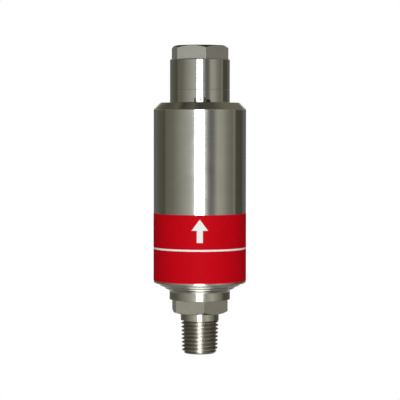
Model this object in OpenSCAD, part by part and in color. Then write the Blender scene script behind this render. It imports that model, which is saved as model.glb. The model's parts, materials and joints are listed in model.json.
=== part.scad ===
// In-line flashback arrestor for fuel gas: a turned stainless housing with a male
// pipe thread below, a female pipe port above and a printed band round the waist.
// Inside, from the inlet up: a dust filter, a thermal cut-off valve held open by a
// fusible ring, a sprung check valve and a sintered flame-quenching element.
// Axis along +Z, origin at the centre of the inlet thread's end face, millimetres.

/* [Housing] */
// Outside diameter of the housing
body_d = 34; // [33:0.1:40]
// Height of the housing from its lower rim to its upper shoulder
body_h = 66.3; // [62:0.1:90]
// Wall of the housing beside the flame element
wall = 3.5; // [2.8:0.1:4]
// Thickness of the housing's closed upper end
top_wall = 4.7; // [3.5:0.1:7]
// Bevel round the upper shoulder
shoulder_bevel = 2.5; // [1:0.1:4]
// Rounding of the lower rim
rim_round = 1; // [0.4:0.1:1.6]
// Diameter of the upper neck and of the outlet collar above it
neck_d = 22; // [21:0.1:24]
// Height of the upper neck above the shoulder
neck_h = 4.7; // [4:0.1:9]

/* [Spanner flats] */
// Width across the flats of both hexagons
hex_af = 19; // [18:0.5:21]
// Turn of the outlet hexagon about the axis
outlet_hex_turn = 41.3; // [0:0.1:60]
// Turn of the inlet hexagon about the axis
inlet_hex_turn = 38.4; // [0:0.1:60]

/* [Outlet adapter] */
// Height of the round collar under the outlet hexagon
outlet_collar_h = 11.2; // [8:0.1:16]
// Height of the outlet hexagon
outlet_hex_h = 5; // [4:0.1:9]
// Wall diameter of the female pipe port, drilled for a quarter-inch pipe thread
port_d = 11.2; // [10:0.1:12.4]
// Depth of the female pipe port
port_depth = 14; // [10:0.1:15]
// Diameter of the gas passage below the port
passage_d = 8; // [5:0.1:9]
// Diameter of the spigot that screws into the housing neck
outlet_spigot_d = 16; // [14.5:0.1:17]

/* [Inlet adapter] */
// Crest diameter of the male pipe thread at mid length
thread_d = 13.4; // [12.5:0.1:13.9]
// Threads to the inch
thread_tpi = 18; // [14:1:27]
// Length of the threaded stub
thread_len = 12.2; // [9:0.1:16]
// Diameter of the plain neck between thread and hexagon
stub_neck_d = 14; // [14:0.1:16]
// Height of the plain neck
stub_neck_h = 2.7; // [1.5:0.1:5]
// Height of the inlet hexagon
inlet_hex_h = 5; // [4:0.1:9]
// Diameter of the collar above the inlet hexagon
inlet_collar_d = 22.3; // [21:0.1:24]
// Height of that collar
inlet_collar_h = 3.5; // [2:0.1:6]
// Height of the conical flare that closes the housing
flare_h = 2.6; // [1.8:0.1:5]
// Height of the spigot that screws into the housing
spigot_h = 12; // [11:0.1:16]
// Wall of that spigot round the valve chamber
spigot_wall = 3.6; // [3.2:0.1:4.2]
// Diameter of the gas inlet bore
inlet_bore_d = 7.5; // [5:0.1:8.5]

/* [Printed band] */
// Height of the band
label_h = 24.6; // [15:0.1:35]
// Thickness of the foil
label_t = 0.12; // [0.08:0.01:0.3]
// Bare metal between the rounded rim and the band
label_margin = 0.1; // [0.1:0.1:6]
// Width of the butt joint at the back of the band
label_joint = 0.8; // [0.4:0.1:3]

/* [Flame element] */
// Outside diameter of the sintered tube
sinter_d = 18; // [15:0.1:20]
// Bore of the sintered tube
sinter_bore_d = 10; // [7:0.1:11]
// Thickness of the closed end of the tube
sinter_end = 4; // [2.5:0.1:6]
// Thickness of the clamped flange
sinter_flange_t = 3; // [2:0.1:5]
// Thickness of the flat gasket above the flange
sinter_gasket_t = 1; // [0.5:0.1:2]
// Wall of the spacer sleeve that clamps the flange
sleeve_wall = 1.3; // [0.8:0.1:2]

/* [Check valve] */
// Thickness of the plate that carries both valves
carrier_t = 3.9; // [3:0.1:6]
// Diameter of the gas orifice through the carrier
orifice_d = 8; // [7.6:0.1:9]
// Lift of the check valve from closed to its stop
check_lift = 2.5; // [1:0.1:3]
// Installed length of the closing spring
check_spring_len = 7; // [6.2:0.1:12]
// Diameter of the poppet disc
poppet_d = 13; // [12.4:0.1:14.5]
// Thickness of the poppet disc
poppet_t = 2; // [1.2:0.1:3]
// Diameter of the guide stem
poppet_stem_d = 3; // [2:0.1:4]
// Thickness of the soft seat washer
check_seal_t = 1.2; // [0.8:0.1:2]
// Diameter of the ported cage
cage_d = 19; // [18.4:0.1:21]
// Wall of the ported cage
cage_wall = 1.2; // [0.8:0.1:1.5]
// Number of gas ports round the cage
cage_ports = 6; // [4:1:8]

/* [Thermal cut-off] */
// Travel that the plunger is held back by
cutoff_gap = 3; // [2:0.1:3.6]
// Diameter of the plunger head
plunger_d = 12; // [11.8:0.1:14]
// Thickness of the plunger head
plunger_t = 2.4; // [1.8:0.1:3]
// Diameter of the plunger stem
plunger_stem_d = 4; // [3:0.1:4.4]
// Thickness of the stem guide
guide_t = 2.5; // [1.5:0.1:3.5]
// Number of gas holes in the guide
guide_holes = 6; // [4:1:7]
// Height of the fusible ring
fuse_t = 2.4; // [1.5:0.1:3]

/* [Inlet filter] */
// Diameter of the filter disc's seat
filter_d = 13; // [11:0.1:13]
// Thickness of the filter disc
filter_t = 1.6; // [1:0.1:2]
// Thickness of the snap ring above it
clip_t = 1; // [0.6:0.1:1.4]

/* [Hidden] */
$fn = 96;

// Clearances
thread_gap = 0.1;
slip_gap = 0.1;
run_gap = 0.05;
touch_gap = 0.03;
label_glue = 0.02;
cut = 1;

// Small edge forms
edge_break = 0.25;
hex_bevel_angle = 30;
hex_face_share = 0.97;
port_bevel = 0.8;

// Levels of the casing, from the inlet end up
hex_in_z = thread_len + stub_neck_h;
collar_in_z = hex_in_z + inlet_hex_h;
flare_z = collar_in_z + inlet_collar_h;
rim_z = flare_z + flare_h;
shoulder_z = rim_z + body_h;
seam_z = shoulder_z + neck_h;
hex_out_z = seam_z + outlet_collar_h;
top_z = hex_out_z + outlet_hex_h;
inner_top_z = shoulder_z - top_wall;

// Housing bores
bore_d = body_d - 2 * wall;
socket_step = 0.7;
socket_d = bore_d + 2 * socket_step;
socket_run_out = 1;
spigot_d = socket_d - 2 * thread_gap;
spigot_top_z = rim_z + spigot_h;
insert_d = bore_d - 2 * slip_gap;
neck_bore_d = outlet_spigot_d + 2 * thread_gap;

// Flare with a turned line half way up, and the notch between it and the inlet collar
flare_step = 0.4;
flare_top_d = body_d - 2 * rim_round - 2 * flare_step;
flare_line_w = 0.6;
flare_line_depth = 0.18;
notch_depth = 0.15;
notch_h = 0.35;

// Pipe thread as parallel rings, sixty degrees between flanks
thread_pitch = 25.4 / thread_tpi;
thread_depth = 0.76 * thread_pitch;
thread_lead = 1.2;
flank_run = thread_depth * tan(30);
crest_flat = (thread_pitch - 2 * flank_run) / 2;
crest_count = floor((thread_len - thread_lead - flank_run - crest_flat) / thread_pitch) + 1;
crest_r = thread_d / 2;
root_r = crest_r - thread_depth;

// Sealing rings in grooves
o_ring_section = 1.8;
o_ring_groove_w = 2.3;
housing_groove_z = rim_z + 2.4;
outlet_groove_z = seam_z - 2.2;
housing_groove_r = socket_d / 2 - o_ring_section - 2 * touch_gap;
outlet_groove_r = neck_bore_d / 2 - o_ring_section - 2 * touch_gap;

// Outlet spigot
outlet_end_gap = 2;
outlet_spigot_z = inner_top_z + outlet_end_gap;

// Stack clamped inside the housing
carrier_gasket_t = 0.8;
carrier_z = spigot_top_z + carrier_gasket_t;
carrier_top_z = carrier_z + carrier_t;
flange_top_z = inner_top_z - sinter_gasket_t;
flange_z = flange_top_z - sinter_flange_t;
gasket_id = neck_bore_d + 0.8;

// Check valve levels
seat_h = 0.8;
seat_wall = 1.2;
seat_top_z = carrier_top_z + seat_h;
poppet_z = seat_top_z + check_seal_t;
poppet_top_z = poppet_z + poppet_t;
plate_z = poppet_top_z + check_spring_len;
cage_plate_t = 2;
cage_top_z = plate_z + cage_plate_t;
cage_recess = 1;
cage_id = cage_d - 2 * cage_wall;
poppet_lip_d = orifice_d - 1;
poppet_nose_d = poppet_lip_d - 1.2;
poppet_lip_h = 0.7;
poppet_stop_d = poppet_stem_d + 2;
poppet_stem_over = 0.5;
poppet_stem_z = cage_top_z + poppet_stem_over;
check_wire = 0.8;
check_turns = 5;
check_coil_d = poppet_stop_d + 2 * check_wire + 1.8;
port_w = PI * cage_d / cage_ports * 0.5;
port_foot = 1.6;
port_head = 2.6;
stem_headroom = 1.7;
sinter_z = poppet_stem_z + check_lift + stem_headroom;

// Thermal cut-off levels
chamber_d = spigot_d - 2 * spigot_wall;
chamber_drop = 1.1;
chamber_z = rim_z - chamber_drop;
lower_seat_h = 0.7;
lower_seat_wall = 2;
plunger_top_z = carrier_z - lower_seat_h - cutoff_gap;
plunger_z = plunger_top_z - plunger_t;
guide_top_z = chamber_z + guide_t;
fuse_z = chamber_z - fuse_t;
stem_tail = 0.6;
stem_z = fuse_z - stem_tail;
fuse_wall = 1.3;
guide_hub_d = plunger_stem_d + 2 * fuse_wall + 0.2;
guide_hole_d = (filter_d - guide_hub_d) / 2 - 0.9;
guide_pcd = (filter_d + guide_hub_d) / 2;
cutoff_wire = 1;
cutoff_turns = 4;
cutoff_coil_d = plunger_d - cutoff_wire - 0.6;
seal_section = 1.6;
seal_groove_depth = 1.1;
seal_ring_d = orifice_d + lower_seat_wall;

// Inlet filter levels
stem_clear = 0.9;
clip_z = stem_z - stem_clear - clip_t;
filter_z = clip_z - filter_t;
clip_groove = 0.6;
clip_width = 1.6;
clip_opening = 40;

// Solid of revolution from an outline of [radius, height] points
module lathe(outline) {
    rotate_extrude() polygon(outline);
}

// Flat ring standing on the level z
module flat_ring(outer_d, inner_d, z, h) {
    translate([0, 0, z])
        difference() {
            cylinder(d = outer_d, h = h);
            translate([0, 0, -cut]) cylinder(d = inner_d, h = h + 2 * cut);
        }
}

// Round bore between two levels
module bore(d, from_z, to_z) {
    translate([0, 0, from_z]) cylinder(d = d, h = to_z - from_z);
}

// Sealing ring of round section
module o_ring(centre_d, section, z) {
    translate([0, 0, z])
        rotate_extrude() translate([centre_d / 2, 0]) circle(d = section);
}

// Ring-shaped cut for a sealing ring in a spigot
module o_ring_groove(bottom_r, z) {
    flat_ring(2 * (bottom_r + 2 * o_ring_section), 2 * bottom_r, z - o_ring_groove_w / 2, o_ring_groove_w);
}

// Hexagon whose corners are turned back by a bevel on its free end
module spanner_hex(z, h, turn, free_end_up) {
    corner_r = hex_af / 2 / cos(30) + cut;
    face_r = hex_af / 2 * hex_face_share;
    drop = (corner_r - face_r) * tan(hex_bevel_angle);
    beveled = [[0, 0], [corner_r, 0], [corner_r, h - drop], [face_r, h], [0, h]];
    translate([0, 0, free_end_up ? z : z + h])
        mirror([0, 0, free_end_up ? 0 : 1])
            intersection() {
                rotate([0, 0, turn]) cylinder(d = hex_af / cos(30), h = h, $fn = 6);
                lathe(beveled);
            }
}

// Copies its children round the axis
module around(count) {
    for (i = [0 : count - 1]) rotate([0, 0, i * 360 / count]) children();
}

// Compression spring with close-wound ends, standing on the level z
module coil_spring(centre_d, wire_d, turns, z, length) {
    sides = 8;
    steps = 20;
    rings = turns * steps;
    low = wire_d / 2 + touch_gap;
    high = length - low;
    end_rise = 1.15 * wire_d;
    middle_rise = (high - low - 2 * end_rise) / (turns - 2);
    function rise(t) =
        t < 1 ? low + t * end_rise
        : t > turns - 1 ? high - (turns - t) * end_rise
        : low + end_rise + (t - 1) * middle_rise;
    function wire_point(i, k) =
        let (a = 360 * i / steps, b = 360 * k / sides, r = centre_d / 2 + wire_d / 2 * cos(b))
        [r * cos(a), r * sin(a), rise(i / steps) + wire_d / 2 * sin(b)];
    points = [for (i = [0 : rings], k = [0 : sides - 1]) wire_point(i, k)];
    skin = [
        for (i = [0 : rings - 1], k = [0 : sides - 1])
        let (j = (k + 1) % sides)
        [i * sides + k, i * sides + j, (i + 1) * sides + j, (i + 1) * sides + k]
    ];
    foot = [for (k = [sides - 1 : -1 : 0]) k];
    head = [for (k = [0 : sides - 1]) rings * sides + k];
    translate([0, 0, z]) polyhedron(points = points, faces = concat([foot], skin, [head]));
}

// Tube with a rounded lower rim, a beveled shoulder and the neck for the outlet adapter
module housing() {
    color("silver")
        difference() {
            rotate_extrude() {
                polygon([
                    [0, rim_z + rim_round],
                    [body_d / 2, rim_z + rim_round],
                    [body_d / 2, shoulder_z - shoulder_bevel],
                    [body_d / 2 - shoulder_bevel, shoulder_z],
                    [neck_d / 2, shoulder_z],
                    [neck_d / 2, seam_z - edge_break],
                    [neck_d / 2 - edge_break, seam_z],
                    [0, seam_z]
                ]);
                translate([0, rim_z]) square([body_d / 2 - rim_round, rim_round]);
                intersection() {
                    translate([body_d / 2 - rim_round, rim_z + rim_round]) circle(r = rim_round);
                    translate([body_d / 2 - rim_round, rim_z]) square(rim_round);
                }
            }
            bore(socket_d, rim_z - cut, spigot_top_z + socket_run_out);
            bore(bore_d, rim_z - cut, inner_top_z);
            bore(neck_bore_d, rim_z, seam_z + cut);
        }
}

// Printed foil band, butted at the back
module label_wrap() {
    inner_r = body_d / 2 + label_glue;
    joint_angle = label_joint / inner_r * 180 / PI;
    color("crimson")
        translate([0, 0, rim_z + rim_round + label_margin])
            rotate([0, 0, 90 + joint_angle / 2])
                rotate_extrude(angle = 360 - joint_angle)
                    translate([inner_r, 0]) square([label_t, label_h]);
}

// Round collar and hexagon with the female pipe port, screwed into the housing neck
module outlet_adapter() {
    spigot_r = outlet_spigot_d / 2;
    color("silver")
        difference() {
            union() {
                lathe([
                    [0, outlet_spigot_z],
                    [spigot_r - edge_break, outlet_spigot_z],
                    [spigot_r, outlet_spigot_z + edge_break],
                    [spigot_r, seam_z],
                    [neck_d / 2 - edge_break, seam_z],
                    [neck_d / 2, seam_z + edge_break],
                    [neck_d / 2, hex_out_z - edge_break],
                    [neck_d / 2 - edge_break, hex_out_z],
                    [0, hex_out_z]
                ]);
                spanner_hex(hex_out_z, outlet_hex_h, outlet_hex_turn, true);
            }
            o_ring_groove(outlet_groove_r, outlet_groove_z);
            bore(passage_d, outlet_spigot_z - cut, top_z);
            bore(port_d, top_z - port_depth, top_z + cut);
            translate([0, 0, top_z - port_bevel])
                cylinder(d1 = port_d, d2 = port_d + 2 * (port_bevel + cut), h = port_bevel + cut);
        }
}

// Outline of the threaded stub from its end face to the neck
function thread_outline() = concat(
    [[0, 0], [root_r, 0]],
    [
        for (i = [0 : crest_count - 1])
        let (z = thread_lead + i * thread_pitch)
        for (p = [
            [root_r, z - crest_flat / 2 - flank_run],
            [crest_r, z - crest_flat / 2],
            [crest_r, z + crest_flat / 2],
            [root_r, z + crest_flat / 2 + flank_run]
        ])
        if (p[1] > 0) p
    ],
    [[stub_neck_d / 2, thread_len]]
);

// Threaded stub, hexagon, collar, flare and chambered spigot turned from one bar
module inlet_adapter() {
    collar_r = inlet_collar_d / 2;
    flare_r = flare_top_d / 2;
    line_r = (collar_r + flare_r) / 2;
    line_z = (flare_z + rim_z) / 2;
    line_rise = flare_line_w / 2 * flare_h / (flare_r - collar_r);
    spigot_r = spigot_d / 2;
    outline = concat(thread_outline(), [
        [stub_neck_d / 2, collar_in_z],
        [collar_r - edge_break, collar_in_z],
        [collar_r, collar_in_z + edge_break],
        [collar_r, flare_z - notch_h],
        [collar_r - notch_depth, flare_z - notch_h / 2],
        [collar_r, flare_z],
        [line_r - flare_line_w / 2, line_z - line_rise],
        [line_r, line_z + flare_line_depth],
        [line_r + flare_line_w / 2, line_z + line_rise],
        [flare_r, rim_z],
        [spigot_r, rim_z],
        [spigot_r, spigot_top_z - edge_break],
        [spigot_r - edge_break, spigot_top_z],
        [0, spigot_top_z]
    ]);
    color("silver")
        difference() {
            union() {
                lathe(outline);
                spanner_hex(hex_in_z, inlet_hex_h, inlet_hex_turn, false);
            }
            o_ring_groove(housing_groove_r, housing_groove_z);
            bore(inlet_bore_d, -cut, filter_z + cut);
            bore(filter_d, filter_z, chamber_z + cut);
            bore(filter_d + 2 * clip_groove, clip_z, clip_z + clip_t + touch_gap);
            bore(chamber_d, chamber_z, spigot_top_z + cut);
        }
}

// Sealing ring between outlet spigot and housing neck
module outlet_o_ring() {
    color("dimgray") o_ring(neck_bore_d - o_ring_section - 2 * touch_gap, o_ring_section, outlet_groove_z);
}

// Sealing ring between inlet spigot and housing
module housing_o_ring() {
    color("dimgray") o_ring(socket_d - o_ring_section - 2 * touch_gap, o_ring_section, housing_groove_z);
}

// Porous tube, closed below, hung from its clamped flange
module sinter_element() {
    end_round = sinter_end / 2;
    color("darkkhaki")
        difference() {
            rotate_extrude() {
                translate([0, sinter_z]) square([sinter_d / 2 - end_round, end_round]);
                translate([0, sinter_z + end_round]) square([sinter_d / 2, flange_z - sinter_z - end_round]);
                intersection() {
                    translate([sinter_d / 2 - end_round, sinter_z + end_round]) circle(r = end_round);
                    translate([sinter_d / 2 - end_round, sinter_z]) square(end_round);
                }
                translate([0, flange_z]) square([insert_d / 2, sinter_flange_t]);
            }
            bore(sinter_bore_d, sinter_z + sinter_end, flange_top_z + cut);
        }
}

// Flat gasket between the element's flange and the housing's closed end
module sinter_gasket() {
    color("white") flat_ring(insert_d, gasket_id, flange_top_z, sinter_gasket_t);
}

// Sleeve that presses the element's flange against its gasket
module spacer_sleeve() {
    color("silver") flat_ring(insert_d, insert_d - 2 * sleeve_wall, carrier_top_z, flange_z - carrier_top_z);
}

// Plate with the check valve's seat above and the cut-off valve's seat below
module valve_carrier() {
    color("goldenrod")
        difference() {
            union() {
                bore(insert_d, carrier_z, carrier_top_z);
                bore(orifice_d + 2 * seat_wall, carrier_z, seat_top_z);
                bore(orifice_d + 2 * lower_seat_wall, carrier_z - lower_seat_h, carrier_z + cut);
            }
            bore(orifice_d, carrier_z - lower_seat_h - cut, seat_top_z + cut);
            flat_ring(cage_d + 2 * slip_gap, cage_id - 2 * slip_gap, carrier_top_z - cage_recess, cage_recess + cut);
        }
}

// Flat gasket between the inlet spigot and the carrier
module carrier_gasket() {
    color("white") flat_ring(insert_d, chamber_d, spigot_top_z, carrier_gasket_t);
}

// Cup over the check valve that guides its stem and lets gas out through side ports
module check_cage() {
    foot_z = carrier_top_z - cage_recess;
    port_z = carrier_top_z + port_foot;
    port_h = plate_z - port_head - port_z;
    color("goldenrod")
        difference() {
            bore(cage_d, foot_z, cage_top_z);
            bore(cage_id, foot_z - cut, plate_z);
            bore(poppet_stem_d + 2 * run_gap, plate_z - cut, cage_top_z + cut);
            around(cage_ports)
                translate([cage_id / 2 - cut, -port_w / 2, port_z]) cube([cage_wall + 2 * cut, port_w, port_h]);
        }
}

// Disc with guide stem, stop shoulder and the lipped nose that holds the seat washer
module check_poppet() {
    nose_z = seat_top_z - poppet_lip_h;
    lip_r = poppet_lip_d / 2;
    color("goldenrod")
        lathe([
            [0, nose_z],
            [lip_r - edge_break, nose_z],
            [lip_r, nose_z + edge_break],
            [lip_r, seat_top_z - touch_gap],
            [poppet_nose_d / 2, seat_top_z - touch_gap],
            [poppet_nose_d / 2, poppet_z],
            [poppet_d / 2, poppet_z],
            [poppet_d / 2, poppet_top_z],
            [poppet_stop_d / 2, poppet_top_z],
            [poppet_stop_d / 2, plate_z - check_lift],
            [poppet_stem_d / 2, plate_z - check_lift],
            [poppet_stem_d / 2, poppet_stem_z - edge_break],
            [poppet_stem_d / 2 - edge_break, poppet_stem_z],
            [0, poppet_stem_z]
        ]);
}

// Soft washer that closes on the carrier's seat
module check_seal() {
    color("dimgray")
        flat_ring(poppet_d - 0.6, poppet_nose_d + 2 * touch_gap, seat_top_z, check_seal_t);
}

// Spring that closes the check valve
module check_spring() {
    color("lightgray") coil_spring(check_coil_d, check_wire, check_turns, poppet_top_z, check_spring_len);
}

// Drilled plate that guides the cut-off plunger's stem
module cutoff_guide() {
    color("goldenrod")
        difference() {
            bore(chamber_d - 2 * slip_gap, chamber_z, guide_top_z);
            bore(plunger_stem_d + 2 * run_gap, chamber_z - cut, guide_top_z + cut);
            around(guide_holes)
                translate([guide_pcd / 2, 0, 0]) bore(guide_hole_d, chamber_z - cut, guide_top_z + cut);
        }
}

// Plunger that shuts the orifice once the fusible ring lets go of its stem
module cutoff_plunger() {
    groove_w = seal_section + 2 * touch_gap;
    color("goldenrod")
        difference() {
            lathe([
                [0, stem_z],
                [plunger_stem_d / 2 - edge_break, stem_z],
                [plunger_stem_d / 2, stem_z + edge_break],
                [plunger_stem_d / 2, plunger_z],
                [plunger_d / 2, plunger_z],
                [plunger_d / 2, plunger_top_z - edge_break],
                [plunger_d / 2 - edge_break, plunger_top_z],
                [0, plunger_top_z]
            ]);
            flat_ring(seal_ring_d + groove_w, seal_ring_d - groove_w,
                plunger_top_z - seal_groove_depth, seal_groove_depth + cut);
        }
}

// Sealing ring in the plunger's face
module cutoff_seal() {
    color("dimgray")
        o_ring(seal_ring_d, seal_section, plunger_top_z - seal_groove_depth + seal_section / 2 + touch_gap);
}

// Compressed spring that drives the plunger shut
module cutoff_spring() {
    color("lightgray")
        coil_spring(cutoff_coil_d, cutoff_wire, cutoff_turns, guide_top_z, plunger_z - guide_top_z);
}

// Ring of low-melting solder that keeps the plunger's stem from rising
module fusible_ring() {
    color("gainsboro")
        flat_ring(plunger_stem_d + 2 * fuse_wall, plunger_stem_d + 2 * touch_gap, fuse_z, fuse_t);
}

// Porous disc that keeps dirt out of the valves
module inlet_filter() {
    radius = filter_d / 2 - slip_gap;
    color("darkkhaki")
        lathe([
            [0, filter_z],
            [radius, filter_z],
            [radius, filter_z + filter_t - edge_break],
            [radius - edge_break, filter_z + filter_t],
            [0, filter_z + filter_t]
        ]);
}

// Open snap ring that holds the filter in its seat
module filter_clip() {
    outer_r = filter_d / 2 + clip_groove - slip_gap;
    color("lightgray")
        translate([0, 0, clip_z])
            rotate([0, 0, clip_opening / 2])
                rotate_extrude(angle = 360 - clip_opening)
                    translate([outer_r - clip_width, 0]) square([clip_width, clip_t]);
}

housing();
label_wrap();
outlet_adapter();
inlet_adapter();
outlet_o_ring();
housing_o_ring();
sinter_element();
sinter_gasket();
spacer_sleeve();
valve_carrier();
carrier_gasket();
check_cage();
check_poppet();
check_seal();
check_spring();
cutoff_guide();
cutoff_plunger();
cutoff_seal();
cutoff_spring();
fusible_ring();
inlet_filter();
filter_clip();
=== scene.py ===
"""Visual model of an upright in-line flashback arrestor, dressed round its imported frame.

The housing, both screwed fittings and the printed band are remodelled, with softened edges
and real helical pipe threads. The closing spring's wire is smoothed, and the other inner
pieces keep their frame solids. Every surface gets a procedural finish. The part's sizes are
millimetres until a mesh is made, and the studio's are metres.
"""
import json
import logging
import math
from dataclasses import dataclass
from enum import Enum
from typing import Any, Iterable, Sequence, Union

import bpy
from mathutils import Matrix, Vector


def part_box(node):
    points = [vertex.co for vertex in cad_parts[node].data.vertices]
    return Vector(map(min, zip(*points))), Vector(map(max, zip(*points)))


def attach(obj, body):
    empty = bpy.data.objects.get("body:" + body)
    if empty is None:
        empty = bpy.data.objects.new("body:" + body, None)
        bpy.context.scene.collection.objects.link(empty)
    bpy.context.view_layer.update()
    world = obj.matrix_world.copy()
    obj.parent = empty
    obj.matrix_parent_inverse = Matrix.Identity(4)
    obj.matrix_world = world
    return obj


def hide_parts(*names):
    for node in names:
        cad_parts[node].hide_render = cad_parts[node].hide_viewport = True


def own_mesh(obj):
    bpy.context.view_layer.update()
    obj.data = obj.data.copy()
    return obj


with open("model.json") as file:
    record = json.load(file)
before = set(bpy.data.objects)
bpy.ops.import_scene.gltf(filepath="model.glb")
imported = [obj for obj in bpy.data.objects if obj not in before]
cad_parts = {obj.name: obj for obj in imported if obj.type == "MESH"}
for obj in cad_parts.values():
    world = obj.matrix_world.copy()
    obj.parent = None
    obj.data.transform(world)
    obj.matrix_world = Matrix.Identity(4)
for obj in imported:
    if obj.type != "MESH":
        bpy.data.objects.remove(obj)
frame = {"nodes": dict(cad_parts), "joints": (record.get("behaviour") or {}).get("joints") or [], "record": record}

log = logging.getLogger("arrestor")

MM = 0.001
INCH = 25.4
FULL_TURN = 360.0
FINE_EDGE = 0.1
FILLET = 0.25
TOOL_CLEAR = 1.0
CASING = "casing"

Object = bpy.types.Object
Material = bpy.types.Material
Node = bpy.types.Node
Colour = tuple[float, float, float]
Corner = tuple[float, float, float]
Point = tuple[float, float]
Run = tuple[float, float]


class Cut(Enum):
    """Ways in which one solid acts on another."""

    JOIN = "UNION"
    REMOVE = "DIFFERENCE"
    KEEP_COMMON = "INTERSECT"


class Bench:
    """Modelling by hand, through Blender's own operators."""

    SOFT_ANGLE = math.radians(28)
    ARC_STEPS = 4
    TURN_STEPS = 160
    SCREW_STEPS = 72
    BEVEL_STEPS = 2
    NEARLY_HALF = 0.49
    MERGE = 2e-7

    @staticmethod
    def clear_selection() -> None:
        """Leaves nothing selected, in object mode."""
        if bpy.context.object and bpy.context.object.mode != "OBJECT":
            bpy.ops.object.mode_set(mode="OBJECT")
        bpy.ops.object.select_all(action="DESELECT")

    @staticmethod
    def pick(piece: Object) -> None:
        """Makes one object the only selected and the active one.

        Args:
            piece: the object to pick.
        """
        Bench.clear_selection()
        piece.select_set(True)
        bpy.context.view_layer.objects.active = piece

    @staticmethod
    def rounded(corners: Sequence[Corner], closed: bool = True) -> list[Point]:
        """Turns corners with radii into points along lines and arcs.

        Args:
            corners: (radius from the axis, height, rounding) of each corner, in millimetres.
            closed: whether the last corner leads back to the first.

        Returns:
            The outline's points, in order, in millimetres.
        """
        points: list[Point] = []
        count = len(corners)
        for i, (r, z, soft) in enumerate(corners):
            here = Vector((r, z))
            if soft <= 0 or (not closed and i in (0, count - 1)):
                points.append((r, z))
                continue
            back = Vector(corners[i - 1][:2]) - here
            ahead = Vector(corners[(i + 1) % count][:2]) - here
            half = back.angle(ahead) / 2
            room = Bench.NEARLY_HALF * min(back.length, ahead.length)
            reach = min(soft / math.tan(half), room)
            bow = reach * math.tan(half)
            inward = (back.normalized() + ahead.normalized()).normalized()
            centre = here + inward * (bow / math.sin(half))
            start = here + back.normalized() * reach - centre
            sweep = start.angle_signed(here + ahead.normalized() * reach - centre)
            for k in range(Bench.ARC_STEPS + 1):
                turn = -sweep * k / Bench.ARC_STEPS
                spoke = Vector((
                    start.x * math.cos(turn) - start.y * math.sin(turn),
                    start.x * math.sin(turn) + start.y * math.cos(turn),
                ))
                points.append(tuple(centre + spoke))
        return points

    @staticmethod
    def wire(name: str, points: Iterable[Sequence[float]], closed: bool) -> Object:
        """Draws a chain of edges point by point, and stays in edit mode.

        Args:
            name: the new object's name.
            points: x, y and z of each point, in millimetres.
            closed: whether an edge joins the last point to the first.

        Returns:
            The new object, active and in edit mode, all selected.
        """
        path = [Vector(p) * MM for p in points]
        Bench.clear_selection()
        bpy.ops.mesh.primitive_plane_add(size=MM)
        piece = bpy.context.object
        piece.name = name
        bpy.ops.object.mode_set(mode="EDIT")
        bpy.ops.mesh.select_all(action="SELECT")
        bpy.ops.mesh.merge(type="CENTER")
        bpy.ops.transform.translate(value=path[0])
        for here, there in zip(path, path[1:]):
            bpy.ops.mesh.extrude_vertices_move(TRANSFORM_OT_translate={"value": there - here})
        if closed:
            bpy.ops.object.mode_set(mode="OBJECT")
            ends = (path[0], path[-1])
            for vertex in piece.data.vertices:
                vertex.select = min((vertex.co - end).length for end in ends) < Bench.MERGE
            bpy.ops.object.mode_set(mode="EDIT")
            bpy.ops.mesh.edge_face_add()
        bpy.ops.mesh.select_all(action="SELECT")
        return piece

    @staticmethod
    def close_up() -> None:
        """Merges doubles, turns all faces outwards and leaves edit mode."""
        bpy.ops.mesh.select_all(action="SELECT")
        bpy.ops.mesh.remove_doubles(threshold=Bench.MERGE)
        bpy.ops.mesh.normals_make_consistent(inside=False)
        bpy.ops.object.mode_set(mode="OBJECT")

    @staticmethod
    def cap_ends() -> None:
        """Closes the open ends of a wound or part-turned solid, in edit mode."""
        bpy.ops.mesh.select_all(action="SELECT")
        bpy.ops.mesh.remove_doubles(threshold=Bench.MERGE)
        bpy.ops.mesh.select_all(action="DESELECT")
        bpy.ops.mesh.select_non_manifold()
        bpy.ops.mesh.fill_holes(sides=0)

    @staticmethod
    def lathe(
        name: str,
        outline: Sequence[Point],
        closed: bool = True,
        start: float = 0.0,
        sweep: float = math.tau,
    ) -> Object:
        """Spins an outline round the Z axis into a solid.

        Args:
            name: the new object's name.
            outline: (radius, height) of each point, in millimetres.
            closed: whether the last point leads back to the first.
            start: where round the axis the outline stands first, in radians from +X.
            sweep: how far round it goes; less than a whole turn gets flat ends.

        Returns:
            The turned solid.
        """
        along, aside = math.cos(start), math.sin(start)
        piece = Bench.wire(name, [(r * along, r * aside, z) for r, z in outline], closed)
        bpy.ops.mesh.spin(steps=Bench.TURN_STEPS, angle=sweep, center=(0, 0, 0), axis=(0, 0, 1))
        if sweep < math.tau:
            Bench.cap_ends()
        Bench.close_up()
        return piece

    @staticmethod
    def prism(name: str, corners: Sequence[Point], low: float, high: float) -> Object:
        """Raises a flat outline into a solid.

        Args:
            name: the new object's name.
            corners: (x, y) of each corner, in order, in millimetres.
            low: level of the lower face.
            high: level of the upper face.

        Returns:
            The upright prism.
        """
        piece = Bench.wire(name, [(x, y, low) for x, y in corners], True)
        bpy.ops.mesh.edge_face_add()
        lift = (0, 0, (high - low) * MM)
        bpy.ops.mesh.extrude_region_move(TRANSFORM_OT_translate={"value": lift})
        Bench.close_up()
        return piece

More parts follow.
